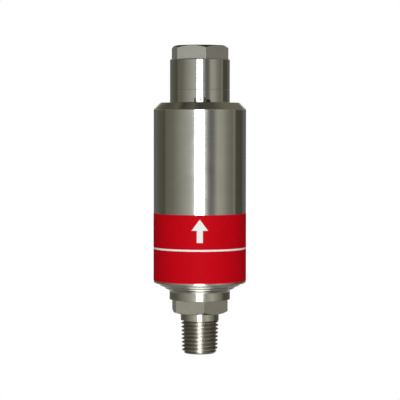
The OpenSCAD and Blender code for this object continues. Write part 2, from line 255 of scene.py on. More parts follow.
    @staticmethod
    def helix(name: str, section: Sequence[Point], pitch: float, turns: int, grow: float) -> Object:
        """Winds a closed section of (radius, height) points into a right-handed screw.

        Args:
            name: the new object's name.
            section: the section's corners at the start of the first turn, in millimetres.
            pitch: rise of one turn, in millimetres.
            turns: number of whole turns.
            grow: widening of the radius for each unit of height, as on a taper thread.

        Returns:
            A closed solid with flat ends.
        """
        piece = Bench.wire(name, [(r, 0.0, z) for r, z in section], True)
        bpy.ops.object.mode_set(mode="OBJECT")
        screw = piece.modifiers.new("screw", "SCREW")
        screw.axis = "Z"
        screw.angle = math.tau
        screw.screw_offset = pitch * MM
        screw.iterations = turns
        screw.steps = screw.render_steps = Bench.SCREW_STEPS
        screw.use_merge_vertices = False
        bpy.ops.object.modifier_apply(modifier=screw.name)
        if grow:
            height = piece.dimensions.z / MM
            widest = max(r for r, _ in section)
            taper = piece.modifiers.new("taper", "SIMPLE_DEFORM")
            taper.deform_method = "TAPER"
            taper.deform_axis = "Z"
            taper.factor = grow * height / widest
            bpy.ops.object.modifier_apply(modifier=taper.name)
        bpy.ops.object.mode_set(mode="EDIT")
        Bench.cap_ends()
        Bench.close_up()
        return piece

    @staticmethod
    def cut(piece: Object, tool: Object, how: Cut) -> None:
        """Lets a tool solid act on a piece, and deletes the tool.

        Args:
            piece: the solid that stays.
            tool: the solid that is used up; its cut faces keep its finish.
            how: what the tool does.
        """
        Bench.pick(piece)
        step = piece.modifiers.new(how.name.lower(), "BOOLEAN")
        step.operation = how.value
        step.solver = "EXACT"
        step.material_mode = "TRANSFER"
        step.object = tool
        bpy.ops.object.modifier_apply(modifier=step.name)
        mesh = tool.data
        bpy.data.objects.remove(tool)
        bpy.data.meshes.remove(mesh)

    @staticmethod
    def soften(piece: Object, width: float, angle: float) -> None:
        """Rounds every edge that turns by more than an angle.

        Args:
            piece: the solid to work on.
            width: width of the rounding, in millimetres.
            angle: the least turn that is rounded, in degrees.
        """
        Bench.pick(piece)
        bevel = piece.modifiers.new("soft edges", "BEVEL")
        bevel.width = width * MM
        bevel.segments = Bench.BEVEL_STEPS
        bevel.limit_method = "ANGLE"
        bevel.angle_limit = math.radians(angle)
        bpy.ops.object.modifier_apply(modifier=bevel.name)

    @staticmethod
    def smooth(piece: Object) -> None:
        """Shades a piece smooth across its gentle edges only.

        Args:
            piece: the finished solid.
        """
        Bench.pick(piece)
        bpy.ops.object.shade_smooth_by_angle(angle=Bench.SOFT_ANGLE)
        even = piece.modifiers.new("even flats", "WEIGHTED_NORMAL")
        even.keep_sharp = True
        bpy.ops.object.modifier_apply(modifier=even.name)
        Bench.clear_selection()

    @staticmethod
    def dress(piece: Object, *finishes: Material) -> None:
        """Gives a piece its finishes in place of any it has.

        Args:
            piece: the object to dress.
            finishes: one material for each slot, in order.
        """
        piece.data.materials.clear()
        for finish in finishes:
            piece.data.materials.append(finish)


class Signal:
    """A value in a shader; arithmetic on it adds Math nodes."""

    NOISE_RANGE = (0.3, 0.7)

    def __init__(self, sheet: "ShaderSheet", socket: bpy.types.NodeSocket) -> None:
        """Wraps one output socket of a sheet."""
        self.sheet = sheet
        self.socket = socket

    def math(self, operation: str, *others: "Value", swap: bool = False) -> "Signal":
        """Feeds this value and others into one Math node.

        Args:
            operation: the Math node's operation.
            others: the operands after this one.
            swap: whether this value comes last instead of first.

        Returns:
            The result as a new signal.
        """
        operands = (*others, self) if swap else (self, *others)
        node = self.sheet.node("ShaderNodeMath", {"operation": operation}, dict(enumerate(operands)))
        return Signal(self.sheet, node.outputs[0])

    def __add__(self, other: "Value") -> "Signal":
        """Sum."""
        return self.math("ADD", other)

    __radd__ = __add__

    def __mul__(self, other: "Value") -> "Signal":
        """Product."""
        return self.math("MULTIPLY", other)

    __rmul__ = __mul__

    def __sub__(self, other: "Value") -> "Signal":
        """Difference."""
        return self.math("SUBTRACT", other)

    def __rsub__(self, other: "Value") -> "Signal":
        """Difference from a number."""
        return self.math("SUBTRACT", other, swap=True)

    def __truediv__(self, other: "Value") -> "Signal":
        """Quotient."""
        return self.math("DIVIDE", other)

    def __abs__(self) -> "Signal":
        """Size without sign."""
        return self.math("ABSOLUTE")

    def below(self, limit: "Value") -> "Signal":
        """1 where the value is under a limit, else 0."""
        return self.math("LESS_THAN", limit)

    def fade(self, low: float, high: float) -> "Signal":
        """Runs smoothly from 0 at one value to 1 at another.

        Args:
            low: where the run starts.
            high: where it ends.

        Returns:
            The share of the run that lies behind this value.
        """
        sockets = {"Value": self, "From Min": low, "From Max": high}
        node = self.sheet.node("ShaderNodeMapRange", {"interpolation_type": "SMOOTHSTEP"}, sockets)
        return Signal(self.sheet, node.outputs[0])

    def within(self, limit: float, soft: float) -> "Signal":
        """1 up to a limit and 0 past it, with a soft edge."""
        return 1.0 - self.fade(limit - soft, limit + soft)

    def between(self, rise: Run, fall: Run) -> "Signal":
        """1 from the end of its rise to the start of its fall, and 0 outside them."""
        return self.fade(*rise) * (1.0 - self.fade(*fall))

    def stretched(self) -> "Signal":
        """A noise, spread from its usual range to the whole of 0 to 1."""
        return self.fade(*self.NOISE_RANGE)


Value = Union[Signal, float]


class ShaderSheet:
    """One material's node tree, with the few calls that its finishes use."""

    FIRST_COLOUR = 6
    SECOND_COLOUR = 7
    MIXED_COLOUR = 2

    def __init__(self, name: str) -> None:
        """Starts a material with one Principled surface.

        Args:
            name: the material's name.
        """
        self.material: Material = bpy.data.materials.new(name)
        self.material.use_nodes = True
        self.tree = self.material.node_tree
        self.surface = self.tree.nodes["Principled BSDF"]

    def node(self, kind: str, settings: dict[str, Any], sockets: dict[Any, Any]) -> Node:
        """Adds one node.

        Args:
            kind: the node's type name.
            settings: attributes that are set first; "stops" are a ramp's (place, colour) pairs.
            sockets: a value, a colour, a signal or an output socket for each input, by name or index.

        Returns:
            The new node.
        """
        node = self.tree.nodes.new(kind)
        for name, value in settings.items():
            if name == "stops":
                ramp = node.color_ramp
                while len(ramp.elements) < len(value):
                    ramp.elements.new(0.5)
                for element, (place, colour) in zip(ramp.elements, value):
                    element.position = place
                    element.color = (*colour, 1.0)
            else:
                setattr(node, name, value)
        for key, value in sockets.items():
            self.feed(node.inputs[key], value)
        return node

    def feed(self, socket: bpy.types.NodeSocket, value: Any) -> None:
        """Sets a number or colour on an input, or links a signal or an output to it.

        Args:
            socket: the input.
            value: what it gets.
        """
        if isinstance(value, Signal):
            self.tree.links.new(value.socket, socket)
        elif isinstance(value, bpy.types.NodeSocket):
            self.tree.links.new(value, socket)
        else:
            socket.default_value = value

    def place(self) -> tuple[Signal, Signal, Signal]:
        """Finds where the surface is.

        Returns:
            X, Y and Z in the part's frame, in millimetres.
        """
        where = self.node("ShaderNodeTexCoord", {}, {})
        split = self.node("ShaderNodeSeparateXYZ", {}, {0: where.outputs["Object"]})
        x, y, z = (Signal(self, out) / MM for out in split.outputs)
        return x, y, z

    def point(self, x: Value, y: Value, z: Value) -> bpy.types.NodeSocket:
        """Joins three values into a vector."""
        return self.node("ShaderNodeCombineXYZ", {}, {0: x, 1: y, 2: z}).outputs[0]

    def noise(self, where: bpy.types.NodeSocket, scale: float, detail: float) -> Signal:
        """Noise between 0 and 1 at a place."""
        sockets = {"Vector": where, "Scale": scale, "Detail": detail}
        return Signal(self, self.node("ShaderNodeTexNoise", {}, sockets).outputs[0])

    def blend(self, share: Value, first: Any, second: Any) -> bpy.types.NodeSocket:
        """Mixes two colours.

        Args:
            share: the second colour's share, from 0 to 1.
            first: a plain colour or an output socket.
            second: the same for the other colour.

        Returns:
            The mixed colour.
        """
        colours = {self.FIRST_COLOUR: self.ink(first), self.SECOND_COLOUR: self.ink(second)}
        mix = self.node("ShaderNodeMix", {"data_type": "RGBA"}, {"Factor": share, **colours})
        return mix.outputs[self.MIXED_COLOUR]

    @staticmethod
    def ink(colour: Any) -> Any:
        """A plain colour with its alpha added; anything else as it is."""
        return (*colour, 1.0) if isinstance(colour, tuple) else colour

    def bump(self, height: Signal, depth: float, strength: float) -> bpy.types.NodeSocket:
        """A normal from a height between 0 and 1, with its depth in millimetres."""
        sockets = {"Height": height, "Distance": depth * MM, "Strength": strength}
        return self.node("ShaderNodeBump", {}, sockets).outputs[0]

    def finish(self, **sockets: Any) -> Material:
        """Sets the surface's inputs.

        Args:
            sockets: a value, colour or link for each input, its name with underscores for spaces.

        Returns:
            The material.
        """
        for name, value in sockets.items():
            self.feed(self.surface.inputs[name.replace("_", " ")], self.ink(value))
        return self.material


@dataclass(frozen=True)
class Mark:
    """A small dark patch painted on the front of a turned wall, across and up, in millimetres."""

    x: float
    up: float
    half_w: float
    half_h: float
    strength: float = 1.0


@dataclass(frozen=True)
class TurnedMetal:
    """Metal cut on a lathe: fine rings round the axis, faint clouds, a soft sheen."""

    FINE_RINGS = 7.0
    COARSE_RINGS = 1.1
    FINE_SHARE = 0.6
    RING_SHEEN = 0.05
    RING_BUMP = 0.35
    CLOUDS = 0.16
    CLOUD_SHARE = 0.65
    CLOUD_SHEEN = 0.06
    SPECKS = 1.9
    SPECK_RANGE = (0.72, 0.8)
    SPECK_SHEEN = 0.12
    SPECK_COLOUR = (0.10, 0.09, 0.08)
    PATCH_SCALE = 1.7
    PATCH_RAGGED = 1.2
    PATCH_EDGE = (0.6, 1.3)
    PATCH_SHEEN = 0.3
    QUARTER_TURN = 0.25

    name: str
    colour: Colour
    shade: Colour
    rough: float
    ring_depth: float = 0.002
    handled: float = 0.0
    streak: float = 0.0
    marks: tuple[Mark, ...] = ()
    marks_z: float = 0.0
    dark_patch_colour: Colour = (0.02, 0.018, 0.016)

    def make(self) -> Material:
        """Builds the material.

        Returns:
            A metal whose rings follow the radius on end faces and the height on walls.
        """
        sheet = ShaderSheet(self.name)
        x, y, z = sheet.place()
        radius = (x * x + y * y).math("SQRT")
        here = sheet.point(x, y, z)
        lathe_line = sheet.point(radius, z, 0.0)
        fine = sheet.noise(lathe_line, self.FINE_RINGS, 1.0)
        coarse = sheet.noise(lathe_line, self.COARSE_RINGS, 2.0)
        clouds = sheet.noise(here, self.CLOUDS, 4.0)
        tone = (coarse * (1 - self.CLOUD_SHARE) + clouds * self.CLOUD_SHARE).stretched()
        rough = (fine - 0.5) * self.RING_SHEEN + (clouds - 0.5) * self.CLOUD_SHEEN + self.rough
        colour = sheet.blend(tone, self.shade, self.colour)
        if self.handled:
            specks = sheet.noise(here, self.SPECKS, 3.0).fade(*self.SPECK_RANGE)
            rough = rough + specks * self.SPECK_SHEEN
            colour = sheet.blend(specks * self.handled, colour, self.SPECK_COLOUR)
        # Small near-black patches painted on the front half of the wall only (y below zero), with ragged edges.
        if self.marks:
            ragged = (sheet.noise(here, self.PATCH_SCALE, 3.0) - 0.5) * self.PATCH_RAGGED
        for mark in self.marks:
            aside = (x - mark.x) / mark.half_w
            along = (z - (self.marks_z + mark.up)) / mark.half_h
            away = aside * aside + along * along + ragged
            dark_patch = (1.0 - away.fade(*self.PATCH_EDGE)) * y.below(0.0) * mark.strength
            rough = rough + dark_patch * self.PATCH_SHEEN
            colour = sheet.blend(dark_patch, colour, self.dark_patch_colour)
        rings = fine * self.FINE_SHARE + coarse * (1 - self.FINE_SHARE)
        normal = sheet.bump(rings, self.ring_depth, self.RING_BUMP)
        return sheet.finish(
            Base_Color=colour, Metallic=1.0, Roughness=rough, Normal=normal,
            Anisotropic=self.streak, Anisotropic_Rotation=self.QUARTER_TURN)


@dataclass(frozen=True)
class MilledMetal:
    """Flats cut by a side mill: straight faint lines and a slightly duller sheen."""

    LINES = 5.0
    LINE_DRAW = 0.15
    LINE_SHEEN = 0.08
    LINE_DEPTH = 0.003
    LINE_BUMP = 0.4
    CLOUDS = 0.35

    name: str
    colour: Colour
    shade: Colour
    rough: float = 0.2

    def make(self) -> Material:
        """Builds the material.

        Returns:
            A metal with lines that run across the flats.
        """
        sheet = ShaderSheet(self.name)
        x, y, z = sheet.place()
        lines = sheet.noise(sheet.point(x * self.LINE_DRAW, y * self.LINE_DRAW, z), self.LINES, 2.0)
        clouds = sheet.noise(sheet.point(x, y, z), self.CLOUDS, 3.0)
        colour = sheet.blend(clouds.stretched(), self.shade, self.colour)
        rough = (lines - 0.5) * self.LINE_SHEEN + self.rough
        normal = sheet.bump(lines, self.LINE_DEPTH, self.LINE_BUMP)
        return sheet.finish(Base_Color=colour, Metallic=1.0, Roughness=rough, Normal=normal)


@dataclass(frozen=True)
class GrainyMetal:
    """Sintered or cast metal: a pebbled, dull surface."""

    PORE_RANGE = (0.1, 0.7)
    PORE_SHEEN = 0.2
    PORE_DEPTH = 0.05
    PORE_BUMP = 0.6

    name: str
    colour: Colour
    shade: Colour
    rough: float = 0.55
    grain: float = 0.25

    def make(self) -> Material:
        """Builds the material.

        Returns:
            A metal made of cells of the grain's size.
        """
        sheet = ShaderSheet(self.name)
        sockets = {"Vector": sheet.point(*sheet.place()), "Scale": 1.0 / self.grain}
        cells = Signal(sheet, sheet.node("ShaderNodeTexVoronoi", {}, sockets).outputs["Distance"])
        colour = sheet.blend(cells.fade(*self.PORE_RANGE), self.colour, self.shade)
        rough = cells * self.PORE_SHEEN + self.rough
        normal = sheet.bump(1.0 - cells, self.PORE_DEPTH, self.PORE_BUMP)
        return sheet.finish(Base_Color=colour, Metallic=1.0, Roughness=rough, Normal=normal)


@dataclass(frozen=True)
class SoftSeal:
    """Rubber or soft white gasket stock: matt, faintly mottled."""

    MOTTLE = 2.5
    MOTTLE_SHEEN = 0.15
    MOTTLE_DEPTH = 0.01
    MOTTLE_BUMP = 0.3

    name: str
    colour: Colour
    shade: Colour
    rough: float = 0.6

    def make(self) -> Material:
        """Builds the material.

        Returns:
            A soft stock with a mottled tone and sheen.
        """
        sheet = ShaderSheet(self.name)
        mottle = sheet.noise(sheet.point(*sheet.place()), self.MOTTLE, 4.0)
        colour = sheet.blend(mottle.stretched(), self.shade, self.colour)
        rough = mottle * self.MOTTLE_SHEEN + self.rough
        normal = sheet.bump(mottle, self.MOTTLE_DEPTH, self.MOTTLE_BUMP)
        return sheet.finish(Base_Color=colour, Roughness=rough, Normal=normal)


@dataclass(frozen=True)
class PrintedFoil:
    """Red printed foil with one white rule all round and plain flow arrows above it."""

    MOTTLE = 0.5
    MOTTLE_SHEEN = 0.1
    PEEL = 1.6
    PEEL_DEPTH = 0.004
    PEEL_BUMP = 0.25

    name: str
    red: Colour = (0.57, 0.003, 0.010)
    deep_red: Colour = (0.53, 0.003, 0.009)
    white: Colour = (0.86, 0.86, 0.86)
    radius: float = 17.06
    arrows: int = 3
    rule_up: float = 11.88
    rule_w: float = 0.66
    arrow_up: float = 14.7
    arrow_h: float = 8.4
    arrow_w: float = 6.0
    shaft_w: float = 2.2
    head_h: float = 4.0
    soft: float = 0.05
    rough: float = 0.45
    gloss: float = 0.006

    def make(self) -> Material:
        """Builds the material.

        Returns:
            A print whose white parts are worked out from the height and the way round.
        """
        sheet = ShaderSheet(self.name)
        x, y, z = sheet.place()
        here = sheet.point(x, y, z)
        foot = foot_of("label_wrap")
        span = math.tau / self.arrows
        turn = x.math("ARCTAN2", 0.0 - y)
        side = abs((turn + span / 2).math("FLOORED_MODULO", span) - span / 2) * self.radius
        up = z - (foot + self.arrow_up)
        neck_z = self.arrow_h - self.head_h
        slope = self.arrow_w / 2 / self.head_h
        rule = abs(z - (foot + self.rule_up)).within(self.rule_w / 2, self.soft)
        shaft = side.within(self.shaft_w / 2, self.soft) * up.fade(-self.soft, self.soft)
        shaft = shaft * up.within(neck_z + self.soft, self.soft)
        head = (side - (self.arrow_h - up) * slope).within(0.0, self.soft)
        head = head * up.fade(neck_z - self.soft, neck_z + self.soft)
        mask = (rule + shaft + head).math("MINIMUM", 1.0)
        mottle = sheet.noise(here, self.MOTTLE, 4.0)
        ground = sheet.blend(mottle.stretched(), self.deep_red, self.red)
        colour = sheet.blend(mask, ground, self.white)
        rough = mottle * self.MOTTLE_SHEEN + self.rough
        normal = sheet.bump(sheet.noise(here, self.PEEL, 2.0), self.PEEL_DEPTH, self.PEEL_BUMP)
        return sheet.finish(
            Base_Color=colour, Roughness=rough, Normal=normal, Specular_IOR_Level=self.gloss)


class Finishes:
    """All the materials of the part, made once."""

    STEEL: Colour = (0.53, 0.52, 0.48)
    STEEL_SHADE: Colour = (0.50, 0.49, 0.45)
    PALE_STEEL: Colour = (0.57, 0.56, 0.53)
    PALE_STEEL_SHADE: Colour = (0.54, 0.53, 0.505)
    NECK_STEEL: Colour = (0.545, 0.535, 0.50)
    NECK_STEEL_SHADE: Colour = (0.52, 0.51, 0.475)
    # Dark patches painted on the front of the neck, just above the shoulder.
    NECK_MARKS: tuple[Mark, ...] = (
        Mark(-1.75, 0.9, 0.4, 1.0),
        Mark(0.3, 0.9, 0.3, 0.6, 0.9),
        Mark(1.75, 1.1, 0.5, 1.3),
        Mark(2.9, 0.5, 0.9, 0.8),
    )

    def __init__(self) -> None:
        """Builds each finish."""
        shoulder = top_of("housing") - Housing.neck_h
        steel = (self.STEEL, self.STEEL_SHADE)
        self.housing = TurnedMetal("turned_steel", *steel, rough=0.12, handled=0.5).make()
        self.neck = TurnedMetal(
            "neck_steel", self.NECK_STEEL, self.NECK_STEEL_SHADE, rough=0.06, handled=0.5,
            marks=self.NECK_MARKS, marks_z=shoulder).make()
        self.outlet = TurnedMetal("outlet_steel", *steel, rough=0.06, handled=0.6).make()
        self.outlet_flats = MilledMetal("outlet_flats", self.PALE_STEEL, self.PALE_STEEL_SHADE).make()
        self.inlet = TurnedMetal("inlet_steel", *steel, rough=0.115, handled=0.6).make()
        self.inlet_flats = MilledMetal("inlet_flats", *steel).make()
        # The threads' steel is painted darker than the fitting's steel, as painted shade of their grooves.
        self.thread = TurnedMetal(
            "thread_steel", (0.43, 0.40, 0.35), (0.35, 0.32, 0.28), rough=0.5, streak=0.97).make()
        self.inside = TurnedMetal(
            "bored_steel", (0.42, 0.41, 0.38), (0.34, 0.33, 0.30), rough=0.3, ring_depth=0.006).make()
        self.foil = PrintedFoil("printed_foil").make()
        self.brass = TurnedMetal(
            "turned_brass", (0.78, 0.57, 0.26), (0.70, 0.49, 0.20), rough=0.2).make()
        self.wire = TurnedMetal(
            "spring_wire", (0.50, 0.50, 0.50), (0.42, 0.42, 0.42), rough=0.25, ring_depth=0.0).make()
        self.sinter = GrainyMetal("sintered_metal", (0.44, 0.42, 0.38), (0.22, 0.21, 0.19)).make()
        self.solder = GrainyMetal(
            "soft_solder", (0.66, 0.66, 0.68), (0.52, 0.52, 0.54), rough=0.35, grain=0.9).make()
        self.rubber = SoftSeal("seal_rubber", (0.03, 0.03, 0.03), (0.018, 0.018, 0.018)).make()
        self.gasket = SoftSeal(
            "white_gasket", (0.82, 0.82, 0.80), (0.74, 0.73, 0.70), rough=0.5).make()

    def by_slot(self) -> dict[str, Material]:
        """The finish of each of the record's material slots."""
        return {
            "turned_steel": self.inlet,
            "printed_foil": self.foil,
            "seal_rubber": self.rubber,
            "sintered_steel": self.sinter,
            "gasket_white": self.gasket,
            "brass": self.brass,
            "spring_steel": self.wire,
            "solder": self.solder,
        }


def foot_of(node: str) -> float:
    """Height of a frame node's lower end, in millimetres."""
    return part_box(node)[0][2] / MM


def top_of(node: str) -> float:
    """Height of a frame node's upper end, in millimetres."""
    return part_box(node)[1][2] / MM


def across(node: str) -> float:
    """Diameter of a round frame node, in millimetres."""
    low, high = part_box(node)
    return max(high[0] - low[0], high[1] - low[1]) / MM


def settle(piece: Object, node: str) -> None:
    """Puts a finished piece in the place of a frame node on the casing.

    Args:
        piece: the finished piece.
        node: the frame node that it stands for.
    """
    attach(piece, CASING)
    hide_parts(node)
    log.info("%s: %d faces, for %s", piece.name, len(piece.data.polygons), node)


@dataclass
class HexEnd:
    """Spanner hexagon with a bevel that turns its corners back on the free end."""

    SIDES = 6

    across_flats: float
    turn: float
    low: float
    high: float
    free_end_up: bool
    face_share: float = 0.97
    bevel_angle: float = 30.0
    overlap: float = 0.6
    edge: float = 0.12
    edge_angle: float = 20.0

    def build(self, name: str, flats: Material, bevel: Material) -> Object:
        """Models the hexagon.

        Args:
            name: the new object's name.
            flats: the finish of the milled sides.
            bevel: the finish of the turned end.

        Returns:
            A solid that reaches a little way into the collar beside it.
        """
        corner = self.across_flats / 2 / math.cos(math.pi / self.SIDES)
        low = self.low - (self.overlap if self.free_end_up else 0.0)
        high = self.high + (0.0 if self.free_end_up else self.overlap)
        angles = [math.radians(self.turn + FULL_TURN / self.SIDES * k) for k in range(self.SIDES)]
        corners = [(corner * math.cos(a), corner * math.sin(a)) for a in angles]
        piece = Bench.prism(name, corners, low, high)
        Bench.dress(piece, flats)
        face = self.across_flats / 2 * self.face_share
        wide = corner + TOOL_CLEAR
        drop = (wide - face) * math.tan(math.radians(self.bevel_angle))
        if self.free_end_up:
            back, turned_back, end = low - TOOL_CLEAR, high - drop, high
        else:
            back, turned_back, end = high + TOOL_CLEAR, low + drop, low
        outline = [(0, back), (wide, back), (wide, turned_back), (face, end), (0, end)]
        cone = Bench.lathe(name + "_bevel", outline, closed=False)
        Bench.dress(cone, bevel)
        Bench.cut(piece, cone, Cut.KEEP_COMMON)
        Bench.soften(piece, self.edge, self.edge_angle)
        return piece


@dataclass
class PipeThread:
    """Taper pipe thread, sixty degrees between flanks, one in sixteen on the diameter."""

    per_inch: float = 18.0
    depth_share: float = 0.76
    grow: float = 1 / 32
    flank: float = 30.0
    skin: float = 0.04

    @property
    def pitch(self) -> float:
        """Rise of one turn."""
        return INCH / self.per_inch

    @property
    def depth(self) -> float:
        """Height of a thread from root to crest."""
        return self.depth_share * self.pitch

    def groove(self, name: str, crest_r: float, low: float, high: float, outward: bool) -> Object:
        """Models the solid that a screw-cutting tool takes away.

        Args:
            name: the new object's name.
            crest_r: radius of the crests at the level zero of the frame.
            low: level of a crest on the +X side, one turn above the groove's start.
            high: level past which the groove isn't needed.
            outward: whether the groove cuts outwards, as in a female thread.

        Returns:
            The wound groove.
        """
        way = 1 if outward else -1
        slope = math.tan(math.radians(self.flank))
        flat = (self.pitch - 2 * self.depth * slope) / 2
        mouth = self.pitch - flat + 2 * self.skin * slope
        mid = low - 1.5 * self.pitch
        section = [
            (crest_r + way * self.depth, mid - flat / 2),
            (crest_r - way * self.skin, mid - mouth / 2),
            (crest_r - way * self.skin, mid + mouth / 2),
            (crest_r + way * self.depth, mid + flat / 2),
        ]
        turns = math.ceil((high - mid) / self.pitch)
        return Bench.helix(name, section, self.pitch, turns, self.grow)


@dataclass
class Housing:
    """Turned tube with a rounded lower rim, a bevelled shoulder and a short neck."""

    wall: float = 3.5
    top_wall: float = 4.7
    bevel: float = 2.5
    rim_round: float = 0.55
    neck_h: float = 4.7
    neck_d: float = 22.0
    neck_bore_d: float = 16.2
    socket_step: float = 0.7
    socket_h: float = 13.0
    edge: float = 0.18
    bevel_edge: float = 0.8
    seam_edge: float = 0.06
    socket_edge: float = 0.3
    bore_fillet: float = 0.4

    def build(self, finishes: Finishes) -> Object:
        """Models and dresses the housing, and puts it in its node's place.

        Args:
            finishes: the part's materials.

        Returns:
            The finished housing.
        """
        rim, seam = foot_of("housing"), top_of("housing")
        shoulder = seam - self.neck_h
        outside = across("housing") / 2
        bore = outside - self.wall
        socket = bore + self.socket_step
        inner_top = shoulder - self.top_wall
        outline = Bench.rounded([
            (socket, rim, self.socket_edge),
            (outside, rim, self.rim_round),
            (outside, shoulder - self.bevel, self.bevel_edge),
            (outside - self.bevel, shoulder, self.edge),
            (self.neck_d / 2, shoulder, FILLET),
            (self.neck_d / 2, seam, self.seam_edge),
            (self.neck_bore_d / 2, seam, self.edge),
            (self.neck_bore_d / 2, inner_top, FINE_EDGE),
            (bore, inner_top, self.bore_fillet),
            (bore, rim + self.socket_h, FINE_EDGE),
            (socket, rim + self.socket_h, FINE_EDGE),
        ])
        piece = Bench.lathe("housing_shell", outline)
        Bench.dress(piece, finishes.housing, finishes.neck)
        for face in piece.data.polygons:
            face.material_index = int(face.center.z / MM > shoulder)
        Bench.smooth(piece)
        settle(piece, "housing")
        return piece


@dataclass
class PrintedBand:
    """Printed foil wrapped tightly round the housing, with its butt joint at the back."""

    thick: float = 0.06
    glue: float = 0.01
    edge: float = 0.02
    joint: float = 0.8
    drop: float = 0.1
    rise: float = 0.04

    def build(self, finishes: Finishes) -> Object:
        """Models and dresses the band, and puts it in its node's place.

        Args:
            finishes: the part's materials.

        Returns:
            The finished band.
        """
        wall = across("housing") / 2
        inner, outer = wall - self.glue, wall + self.thick
        low, high = foot_of("label_wrap") - self.drop, top_of("label_wrap") + self.rise
        outline = Bench.rounded([
            (inner, low, 0),
            (outer, low, self.edge),
            (outer, high, self.edge),
            (inner, high, 0),
        ])
        gap = self.joint / outer
        piece = Bench.lathe("printed_band", outline, start=math.pi / 2 + gap / 2, sweep=math.tau - gap)
        Bench.dress(piece, finishes.foil)
        Bench.smooth(piece)
        settle(piece, "label_wrap")
        return piece


@dataclass
class OutletFitting:
    """Collar and hexagon with the female pipe port, screwed into the housing's neck."""

    collar_d: float = 22.0
    collar_edge: float = 0.42
    hex_af: float = 19.0
    hex_h: float = 5.0
    hex_turn: float = 41.3
    spigot_d: float = 16.0
    groove_d: float = 12.48
    groove_w: float = 2.3
    groove_down: float = 2.2
    port_d: float = 11.2
    port_depth: float = 14.0
    port_fillet: float = 0.3
    mouth: float = 0.8
    mouth_over: float = 0.5
    tap_up: float = 3.0
    tap_depth: float = 0.62
    passage_d: float = 8.0

    def bores(self, name: str) -> Object:
        """Turns the solid that the gas passage and the pipe port take away.

        Args:
            name: the new object's name.

        Returns:
            The solid, a little longer than the fitting.
        """
        foot, top = foot_of("outlet_adapter"), top_of("outlet_adapter")
        passage, port = self.passage_d / 2, self.port_d / 2
        outline = Bench.rounded([
            (0, foot - TOOL_CLEAR, 0),
            (passage, foot - TOOL_CLEAR, 0),
            (passage, top - self.port_depth, 0),
            (port, top - self.port_depth, self.port_fillet),
            (port, top - self.mouth, FINE_EDGE),
            (port + self.mouth + self.mouth_over, top + self.mouth_over, 0),
            (0, top + self.mouth_over, 0),
        ], closed=False)
        return Bench.lathe(name, outline, closed=False)

    def build(self, finishes: Finishes) -> Object:
        """Models and dresses the fitting, and puts it in its node's place.

        Args:
            finishes: the part's materials.

        Returns:
            The finished fitting.
        """
        foot, top = foot_of("outlet_adapter"), top_of("outlet_adapter")
        seam = top_of("housing")
        hex_low = top - self.hex_h
        spigot, collar = self.spigot_d / 2, self.collar_d / 2
        groove_low = seam - self.groove_down - self.groove_w / 2
        outline = Bench.rounded([
            (0, foot, 0),
            (spigot, foot, FILLET),
            (spigot, groove_low, FINE_EDGE),
            (self.groove_d / 2, groove_low, FINE_EDGE),
            (self.groove_d / 2, groove_low + self.groove_w, FINE_EDGE),
            (spigot, groove_low + self.groove_w, FINE_EDGE),
            (spigot, seam, FINE_EDGE),
            (collar, seam, Housing.seam_edge),
            (collar, hex_low, self.collar_edge),
            (0, hex_low, 0),
        ], closed=False)
        piece = Bench.lathe("outlet_fitting", outline, closed=False)
        Bench.dress(piece, finishes.outlet)
        spanner = HexEnd(self.hex_af, self.hex_turn, hex_low, top, free_end_up=True)
        Bench.cut(piece, spanner.build("outlet_hex", finishes.outlet_flats, finishes.outlet), Cut.JOIN)
        drill = self.bores("outlet_bores")
        Bench.dress(drill, finishes.inside)
        Bench.cut(piece, drill, Cut.REMOVE)
        thread = PipeThread(grow=0.0, depth_share=self.tap_depth)
        first = top - self.port_depth + self.tap_up + thread.pitch
        tap = thread.groove("outlet_tap", self.port_d / 2, first, top, outward=True)
        Bench.dress(tap, finishes.thread)
        Bench.cut(piece, tap, Cut.REMOVE)
        Bench.smooth(piece)
        settle(piece, "outlet_adapter")
        return piece


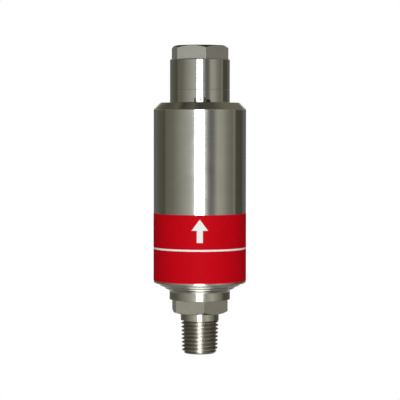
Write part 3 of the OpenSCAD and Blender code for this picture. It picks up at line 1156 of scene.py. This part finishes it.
@dataclass
class InletFitting:
    """Male pipe stub, hexagon, collar and flare that close the housing from below."""

    thread_lead: float = 1.2
    crest_d: float = 13.2
    run_out: float = 0.05
    neck_d: float = 14.0
    neck_h: float = 2.7
    hex_af: float = 19.1
    hex_h: float = 5.0
    hex_turn: float = 38.2
    hex_edge: float = 0.05
    collar_d: float = 22.3
    collar_h: float = 3.5
    flare_h: float = 2.6
    flare_steps: tuple[Corner, ...] = (
        (0.0, -0.1, 0.8),
        (1.75, 0.72, 0.06),
        (1.98, 1.17, 0.06),
        (3.55, 1.72, 0.06),
        (3.8, 2.15, 0.05),
        (4.2, 2.45, 0.03),
        (4.1, 2.6, 0.0),
    )
    spigot_d: float = 28.2
    seal_groove_d: float = 24.68
    seal_groove_w: float = 2.3
    seal_groove_up: float = 2.4
    bore_d: float = 7.5
    bore_chamfer: float = 0.4
    filter_d: float = 13.0
    clip_groove_d: float = 14.2
    clip_play: float = 0.03
    chamber_d: float = 21.0
    edge: float = 0.2
    end_edge: float = 0.12

    @property
    def collar_low(self) -> float:
        """Level of the collar's lower face."""
        return foot_of("housing") - self.flare_h - self.collar_h

    @property
    def hex_low(self) -> float:
        """Level of the hexagon's free end."""
        return self.collar_low - self.hex_h

    @property
    def thread_len(self) -> float:
        """Length of the threaded stub, up to the plain neck."""
        return self.hex_low - self.neck_h

    def flare(self, rim: float) -> list[Corner]:
        """Corners of the flare's fillet and its turned steps, from the collar up to the rim."""
        collar, low = self.collar_d / 2, rim - self.flare_h
        return [(collar + out, low + up, soft) for out, up, soft in self.flare_steps]

    def core(self, name: str) -> Object:
        """Turns the outside of the fitting, with the stub still plain.

        Args:
            name: the new object's name.

        Returns:
            The solid before its hexagon, bores and thread.
        """
        rim, head = foot_of("housing"), top_of("inlet_adapter")
        crest, collar = self.crest_d / 2, self.collar_d / 2
        root = crest - PipeThread().depth
        spigot = self.spigot_d / 2
        groove_low = rim + self.seal_groove_up - self.seal_groove_w / 2
        outline = Bench.rounded([
            (0, 0, 0),
            (root, 0, self.end_edge),
            (crest, self.thread_lead, 0),
            (self.neck_d / 2, self.thread_len, 0),
            (self.neck_d / 2, self.collar_low, 0),
            (collar, self.collar_low, self.edge),
            *self.flare(rim),
            (spigot, rim, FINE_EDGE),
            (spigot, groove_low, FINE_EDGE),
            (self.seal_groove_d / 2, groove_low, FINE_EDGE),
            (self.seal_groove_d / 2, groove_low + self.seal_groove_w, FINE_EDGE),
            (spigot, groove_low + self.seal_groove_w, FINE_EDGE),
            (spigot, head, FILLET),
            (0, head, 0),
        ], closed=False)
        return Bench.lathe(name, outline, closed=False)

    def bores(self, name: str) -> Object:
        """Turns the solid that the inlet bore, the filter seat and the valve chamber take away.

        Args:
            name: the new object's name.

        Returns:
            The solid, a little longer than the fitting.
        """
        filter_low = foot_of("inlet_filter")
        clip_low, clip_high = foot_of("filter_clip"), top_of("filter_clip")
        chamber_low, head = foot_of("cutoff_guide"), top_of("inlet_adapter")
        bore, seat, slot = self.bore_d / 2, self.filter_d / 2, self.clip_groove_d / 2
        outline = Bench.rounded([
            (0, -TOOL_CLEAR, 0),
            (bore + self.bore_chamfer + TOOL_CLEAR, -TOOL_CLEAR, 0),
            (bore, self.bore_chamfer, FINE_EDGE),
            (bore, filter_low, 0),
            (seat, filter_low, FINE_EDGE),
            (seat, clip_low, 0),
            (slot, clip_low, 0),
            (slot, clip_high + self.clip_play, 0),
            (seat, clip_high + self.clip_play, 0),
            (seat, chamber_low, 0),
            (self.chamber_d / 2, chamber_low, self.edge),
            (self.chamber_d / 2, head + TOOL_CLEAR, 0),
            (0, head + TOOL_CLEAR, 0),
        ], closed=False)
        return Bench.lathe(name, outline, closed=False)

    def die(self, name: str, finish: Material) -> Object:
        """Models the wound solid that the thread takes away, cut off square at its run-out.

        Args:
            name: the new object's name.
            finish: the finish of the thread.

        Returns:
            The solid, dressed.
        """
        thread = PipeThread()
        first = self.thread_lead + thread.pitch / 2
        groove = thread.groove(name, self.crest_d / 2, first, self.thread_len, outward=False)
        wide, end = self.neck_d, self.thread_len + self.run_out
        outline = [(0, -wide), (wide, -wide), (wide, end), (0, end)]
        stop = Bench.lathe(name + "_stop", outline, closed=False)
        for tool in (groove, stop):
            Bench.dress(tool, finish)
        Bench.cut(groove, stop, Cut.KEEP_COMMON)
        return groove

    def build(self, finishes: Finishes) -> Object:
        """Models and dresses the fitting, and puts it in its node's place.

        Args:
            finishes: the part's materials.

        Returns:
            The finished fitting.
        """
        piece = self.core("inlet_fitting")
        Bench.dress(piece, finishes.inlet)
        spanner = HexEnd(
            self.hex_af, self.hex_turn, self.hex_low, self.collar_low, free_end_up=False,
            edge=self.hex_edge)
        Bench.cut(piece, spanner.build("inlet_hex", finishes.inlet_flats, finishes.inlet), Cut.JOIN)
        drill = self.bores("inlet_bores")
        Bench.dress(drill, finishes.inside)
        Bench.cut(piece, drill, Cut.REMOVE)
        Bench.cut(piece, self.die("inlet_die", finishes.thread), Cut.REMOVE)
        Bench.smooth(piece)
        settle(piece, "inlet_adapter")
        return piece


@dataclass
class InnerWorks:
    """Seals, valves, springs and the flame element, which keep their frame solids."""

    spring_node: str = "check_spring"
    lift_joint: str = "check_valve_lift"

    def dress(self, finishes: Finishes, hidden: Iterable[str]) -> None:
        """Gives each frame node that still shows its slot's finish.

        Args:
            finishes: the part's materials.
            hidden: nodes that remodelled pieces stand for.
        """
        by_slot = finishes.by_slot()
        slots = {row["node"]: row["material_slot"] for row in frame["record"]["subparts"]}
        for node, piece in frame["nodes"].items():
            if node not in hidden:
                Bench.dress(piece, by_slot[slots[node]])
                log.info("%s: dressed as %s", node, slots[node])

    def build_spring(self, finishes: Finishes) -> Object:
        """Rounds the wire of the check valve's spring.

        Args:
            finishes: the part's materials.

        Returns:
            The spring, seated under the cage's plate.
        """
        Bench.pick(frame["nodes"][self.spring_node])
        bpy.ops.object.duplicate()
        piece = bpy.context.object
        piece.name = "closing_spring"
        piece.parent = None
        for key in [key for key in piece.keys() if key.startswith("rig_")]:
            del piece[key]
        bpy.ops.object.mode_set(mode="EDIT")
        bpy.ops.mesh.select_all(action="SELECT")
        bpy.ops.mesh.remove_doubles(threshold=Bench.MERGE)
        bpy.ops.mesh.tris_convert_to_quads()
        bpy.ops.object.mode_set(mode="OBJECT")
        Bench.dress(piece, finishes.wire)
        Bench.smooth(piece)
        low, high = foot_of(self.spring_node), top_of(self.spring_node)
        joint = next(j for j in frame["joints"] if j["name"] == self.lift_joint)
        keep = 1 - joint["range_m"][1] / MM / (high - low)
        settle(piece, self.spring_node)
        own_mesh(piece)
        return piece


@dataclass(frozen=True)
class Soft:
    """One stretch of the light tent, at a bearing on its wall or a distance across its ceiling."""

    at: float
    light: Colour


@dataclass
class Studio:
    """White ground, a grey light tent that only reflections see, strip lamps and the camera.

    Sizes are metres. The runs over which one light of the tent's wall fades into the next are
    millimetres of height, or degrees round from the front where they belong to a panel's sides.
    """

    tent_r: float = 1.2
    tent_sides: int = 96
    ceiling_z: float = 1.1
    foot_run: Run = (-75.0, -25.0)
    head_run: Run = (450.0, 850.0)
    band_rise: Run = (270.0, 340.0)
    band_fall: Run = (420.0, 520.0)
    band_light: Colour = (0.85, 0.84, 0.78)
    band_share: float = 0.4
    panel_rise: Run = (95.0, 150.0)
    panel_fall: Run = (167.0, 172.0)
    panel_top: Run = (-215.0, -175.0)
    panel_light: Colour = (0.66, 0.655, 0.63)
    flag_size: float = 0.8
    flag_y: float = 0.75
    flag_z: float = 0.85
    flag_tilt: float = -45.0
    flag_light: float = 0.05
    strip_bearing: float = -0.7
    back_bearing: float = 180.0
    strip_gap: float = 0.08
    strip_w: float = 0.43
    strip_h: float = 1.3
    strip_z: float = 0.16
    strip_power: float = 9.5
    sheen_power: float = 24.0
    back_power: float = 7.0
    floor_z: float = -0.35
    floor_size: float = 16.0
    floor_colour: Colour = (0.62, 0.62, 0.62)
    floor_rough: float = 0.9
    floor_gloss: float = 0.1
    floor_lift: float = 0.66
    floor_glint: float = 0.02
    floor_dim: float = 0.2
    white_from: float = 0.7
    pool_y: float = -0.2
    pool_r: float = 0.27
    pool_core: float = 0.3
    pool_slim: float = 1.2
    pool_light: float = 1.6
    lane_w: float = 0.24
    lane_edge: Run = (0.35, 0.65)
    lane_light: float = 2.8
    eye_x: float = 0.00004
    eye_distance: float = 0.64
    eye_z: float = 0.0857
    aim_z: float = 0.0565
    roll: float = -0.05
    lens: float = 156.5
    sensor: float = 36.0
    near_clip: float = 0.01
    wall: tuple[Soft, ...] = (
        Soft(-180, (0.85, 0.85, 0.83)),
        Soft(-174, (0.75, 0.75, 0.73)),
        Soft(-168, (0.17, 0.17, 0.165)),
        Soft(-130, (0.17, 0.17, 0.165)),
        Soft(-123, (0.145, 0.15, 0.108)),
        Soft(-98, (0.11, 0.11, 0.085)),
        Soft(-93, (0.20, 0.19, 0.16)),
        Soft(-70, (0.24, 0.23, 0.195)),
        Soft(-40, (0.47, 0.47, 0.42)),
        Soft(-20, (0.64, 0.64, 0.62)),
        Soft(12, (0.62, 0.63, 0.66)),
        Soft(18, (0.42, 0.43, 0.45)),
        Soft(23, (0.20, 0.195, 0.19)),
        Soft(32, (0.20, 0.195, 0.19)),
        Soft(44, (0.54, 0.54, 0.47)),
        Soft(57, (0.50, 0.50, 0.44)),
        Soft(70, (0.345, 0.33, 0.29)),
        Soft(80, (0.265, 0.255, 0.225)),
        Soft(91, (0.25, 0.235, 0.205)),
        Soft(95, (0.38, 0.37, 0.32)),
        Soft(100, (0.11, 0.105, 0.08)),
        Soft(129, (0.095, 0.09, 0.07)),
        Soft(134, (0.17, 0.17, 0.165)),
        Soft(168, (0.17, 0.17, 0.165)),
        Soft(174, (0.75, 0.75, 0.73)),
        Soft(180, (0.85, 0.85, 0.83)),
    )
    wall_foot: tuple[Soft, ...] = (
        Soft(-180, (0.46, 0.46, 0.45)),
        Soft(-173, (0.44, 0.44, 0.43)),
        Soft(-166, (0.17, 0.17, 0.165)),
        Soft(-128, (0.14, 0.14, 0.11)),
        Soft(-98, (0.16, 0.155, 0.125)),
        Soft(-70, (0.31, 0.30, 0.25)),
        Soft(-40, (0.51, 0.50, 0.42)),
        Soft(-20, (0.72, 0.72, 0.66)),
        Soft(14, (0.70, 0.70, 0.64)),
        Soft(24, (0.44, 0.43, 0.38)),
        Soft(33, (0.55, 0.54, 0.47)),
        Soft(48, (0.67, 0.65, 0.56)),
        Soft(57, (0.54, 0.52, 0.45)),
        Soft(76, (0.35, 0.33, 0.28)),
        Soft(91, (0.27, 0.25, 0.21)),
        Soft(100, (0.12, 0.115, 0.09)),
        Soft(129, (0.11, 0.105, 0.085)),
        Soft(166, (0.17, 0.17, 0.165)),
        Soft(173, (0.44, 0.44, 0.43)),
        Soft(180, (0.46, 0.46, 0.45)),
    )
    ceiling: tuple[Soft, ...] = (
        Soft(-1.2, (0.11, 0.10, 0.08)),
        Soft(-0.7, (0.13, 0.125, 0.09)),
        Soft(-0.53, (0.20, 0.19, 0.135)),
        Soft(-0.40, (0.07, 0.063, 0.045)),
        Soft(-0.15, (0.18, 0.17, 0.14)),
        Soft(-0.04, (0.09, 0.085, 0.07)),
        Soft(0.32, (0.12, 0.11, 0.085)),
        Soft(0.6, (0.24, 0.22, 0.16)),
        Soft(1.2, (0.22, 0.20, 0.16)),
    )

    def glow(self, name: str) -> ShaderSheet:
        """Starts a material with an emission in place of its surface.

        Args:
            name: the material's name.

        Returns:
            The material's sheet.
        """
        sheet = ShaderSheet(name)
        sheet.tree.nodes.remove(sheet.surface)
        sheet.surface = sheet.node("ShaderNodeEmission", {}, {})
        self.show(sheet, sheet.surface.outputs[0])
        return sheet

    @staticmethod
    def show(sheet: ShaderSheet, shader: bpy.types.NodeSocket) -> None:
        """Makes a shader the one that the material shows."""
        output = next(n for n in sheet.tree.nodes if n.type == "OUTPUT_MATERIAL")
        sheet.tree.links.new(shader, output.inputs["Surface"])

    @staticmethod
    def mix(sheet: ShaderSheet, share: Signal, first: Node, second: Node) -> Node:
        """Mixes two shaders, by a share of the second."""
        sockets = {0: share, 1: first.outputs[0], 2: second.outputs[0]}
        return sheet.node("ShaderNodeMixShader", {}, sockets)

    @staticmethod
    def stand(name: str, sheet: ShaderSheet) -> None:
        """Finishes the card that was added last, out of the camera's sight.

        Args:
            name: the card's name.
            sheet: the material that it shines with.
        """
        card = bpy.context.object
        card.name = name
        bpy.ops.object.transform_apply(location=True, rotation=True)
        Bench.dress(card, sheet.material)
        card.visible_camera = False

    @staticmethod
    def spread(
        sheet: ShaderSheet, share: Signal, softs: Sequence[Soft], width: float,
    ) -> bpy.types.NodeSocket:
        """Lays stretches of light side by side.

        Args:
            sheet: the material that they belong to.
            share: the place across the whole width, from 0 to 1.
            softs: the stretches, in order, measured from the middle.
            width: the whole width, in the stretches' own unit.

        Returns:
            The light's colour at that place.
        """
        stops = [(0.5 + soft.at / width, soft.light) for soft in softs]
        return sheet.node("ShaderNodeValToRGB", {"stops": stops}, {0: share}).outputs[0]

    def overhead(self, sheet: ShaderSheet, x: Signal) -> bpy.types.NodeSocket:
        """The ceiling's light at a distance across it, in millimetres."""
        width = 2 * self.tent_r
        return self.spread(sheet, x * MM / width + 0.5, self.ceiling, width)

    def build_wall(self) -> None:
        """Stands the tent's round wall, with its foot, its rear panels, its band and its head."""
        Bench.clear_selection()
        height = self.ceiling_z - self.floor_z
        bpy.ops.mesh.primitive_cylinder_add(
            vertices=self.tent_sides, radius=self.tent_r, depth=height, end_fill_type="NOTHING",
            location=(0, 0, self.floor_z + height / 2))
        sheet = self.glow("tent_wall")
        x, y, z = sheet.place()
        bearing = x.math("ARCTAN2", 0.0 - y) / math.tau + 0.5
        upper = self.spread(sheet, bearing, self.wall, FULL_TURN)
        lower = self.spread(sheet, bearing, self.wall_foot, FULL_TURN)
        cloth = sheet.blend(z.fade(*self.foot_run), lower, upper)
        turn = abs(bearing - 0.5) * FULL_TURN
        panel = turn.between(self.panel_rise, self.panel_fall) * (1.0 - z.fade(*self.panel_top))
        cloth = sheet.blend(panel, cloth, self.panel_light)
        band = z.between(self.band_rise, self.band_fall) * self.band_share
        cloth = sheet.blend(band, cloth, self.band_light)
        cloth = sheet.blend(z.fade(*self.head_run), cloth, self.overhead(sheet, x))
        sheet.feed(sheet.surface.inputs["Color"], cloth)
        self.stand("tent_wall", sheet)

    def build_ceiling(self) -> None:
        """Hangs the tent's ceiling."""
        Bench.clear_selection()
        bpy.ops.mesh.primitive_circle_add(
            vertices=self.tent_sides, radius=self.tent_r, fill_type="NGON",
            location=(0, 0, self.ceiling_z))
        sheet = self.glow("tent_ceiling")
        x, _, _ = sheet.place()
        sheet.feed(sheet.surface.inputs["Color"], self.overhead(sheet, x))
        self.stand("tent_ceiling", sheet)

    def build_flag(self) -> None:
        """Hangs a dark flag above and behind the part."""
        Bench.clear_selection()
        bpy.ops.mesh.primitive_plane_add(
            size=self.flag_size, location=(0, self.flag_y, self.flag_z),
            rotation=(math.radians(self.flag_tilt), 0, 0))
        sheet = self.glow("black_flag")
        sheet.feed(sheet.surface.inputs["Strength"], self.flag_light)
        self.stand("black_flag", sheet)

    def spill(self, x: Signal, y: Signal) -> Signal:
        """Lays a pool and a lane of light on the floor before the part.

        Args:
            x: distance aside, in millimetres.
            y: distance behind the part's axis, in millimetres.

        Returns:
            The strength of the light at that place.
        """
        middle, radius = self.pool_y / MM, self.pool_r / MM
        aside, ahead = x * self.pool_slim, y - middle
        away = (aside * aside + ahead * ahead).math("SQRT")
        pool = 1.0 - away.fade(self.pool_core * radius, radius)
        start, end = (share * self.lane_w / MM for share in self.lane_edge)
        lane = (1.0 - abs(x).fade(start, end)) * y.below(middle)
        return (pool * self.pool_light).math("MAXIMUM", lane * self.lane_light)

    def build_floor(self) -> None:
        """Lays the pale floor, white to the camera, with light on it that only reflections see."""
        Bench.clear_selection()
        bpy.ops.mesh.primitive_plane_add(size=self.floor_size, location=(0, 0, self.floor_z))
        floor = bpy.context.object
        floor.name = "floor"
        bpy.ops.object.transform_apply(location=True)
        sheet = ShaderSheet("pale_floor")
        matt = sheet.finish(
            Base_Color=self.floor_colour, Roughness=self.floor_rough,
            Specular_IOR_Level=self.floor_gloss)
        rays = sheet.node("ShaderNodeLightPath", {}, {})
        camera, glossy, clear = (
            Signal(sheet, rays.outputs[name])
            for name in ("Is Camera Ray", "Is Glossy Ray", "Is Transmission Ray"))
        x, y, _ = sheet.place()
        lift = (camera + clear) * self.floor_lift + glossy * (self.spill(x, y) + self.floor_glint)
        light = sheet.node("ShaderNodeEmission", {}, {"Color": lift, "Strength": 1.0})
        dark = sheet.node("ShaderNodeEmission", {}, {"Strength": 0.0})
        cloth = self.mix(sheet, glossy * self.floor_dim, sheet.surface, dark)
        near = sheet.node("ShaderNodeAddShader", {}, {0: cloth.outputs[0], 1: light.outputs[0]})
        far = sheet.node("ShaderNodeEmission", {}, {"Color": (1, 1, 1, 1), "Strength": 1.0})
        edge = self.tent_r / MM
        outside = (x * x + y * y).math("SQRT").fade(self.white_from * edge, edge) * camera
        self.show(sheet, self.mix(sheet, outside, near, far).outputs[0])
        Bench.dress(floor, matt)

    def build_lights(self) -> None:
        """Hangs the strip lamps before and behind the part and makes the world white."""
        sheen, back = "strip_sheen", "back_strip"
        reach = self.tent_r - self.strip_gap
        for name, degrees, power in (
            ("strip_light", self.strip_bearing, self.strip_power),
            (sheen, self.strip_bearing, self.sheen_power),
            (back, self.back_bearing, self.back_power),
        ):
            bearing = math.radians(degrees)
            lamp = bpy.data.lights.new(name, "AREA")
            lamp.shape = "RECTANGLE"
            lamp.size, lamp.size_y = self.strip_w, self.strip_h
            lamp.energy = power
            strip = bpy.data.objects.new(name, lamp)
            bpy.context.scene.collection.objects.link(strip)
            strip.location = (math.sin(bearing) * reach, -math.cos(bearing) * reach, self.strip_z)
            strip.rotation_euler = (math.radians(90), 0, bearing)
            strip.visible_camera = False
            strip.visible_diffuse = name != sheen
            strip.visible_glossy = name != back
        world = bpy.data.worlds.new("white_ground")
        bpy.context.scene.world = world
        world.use_nodes = True
        ground = world.node_tree.nodes["Background"]
        ground.inputs["Color"].default_value = (1, 1, 1, 1)
        ground.inputs["Strength"].default_value = 1.0

    def build_camera(self) -> None:
        """Sets the camera at the photograph's place, looking slightly down."""
        tilt = math.atan((self.eye_z - self.aim_z) / self.eye_distance)
        lens = bpy.data.cameras.new("camera")
        lens.lens = self.lens
        lens.sensor_width = self.sensor
        lens.clip_start = self.near_clip
        camera = bpy.data.objects.new("camera", lens)
        bpy.context.scene.collection.objects.link(camera)
        camera.location = (self.eye_x, -self.eye_distance, self.eye_z)
        camera.rotation_euler = (math.radians(90) - tilt, math.radians(self.roll), 0)
        bpy.context.scene.camera = camera

    def build(self) -> None:
        """Sets up the whole studio."""
        bpy.context.scene.view_settings.view_transform = "Standard"
        self.build_camera()
        self.build_lights()
        self.build_wall()
        self.build_ceiling()
        self.build_flag()
        self.build_floor()


def main() -> None:
    """Builds the pieces in order, then the studio."""
    logging.basicConfig(level=logging.INFO, format="%(name)s %(message)s")
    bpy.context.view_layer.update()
    finishes = Finishes()
    Housing().build(finishes)
    PrintedBand().build(finishes)
    OutletFitting().build(finishes)
    InletFitting().build(finishes)
    works = InnerWorks()
    works.build_spring(finishes)
    remodelled = ("housing", "label_wrap", "outlet_adapter", "inlet_adapter", works.spring_node)
    works.dress(finishes, remodelled)
    Studio().build()


if __name__ == "__main__":
    main()
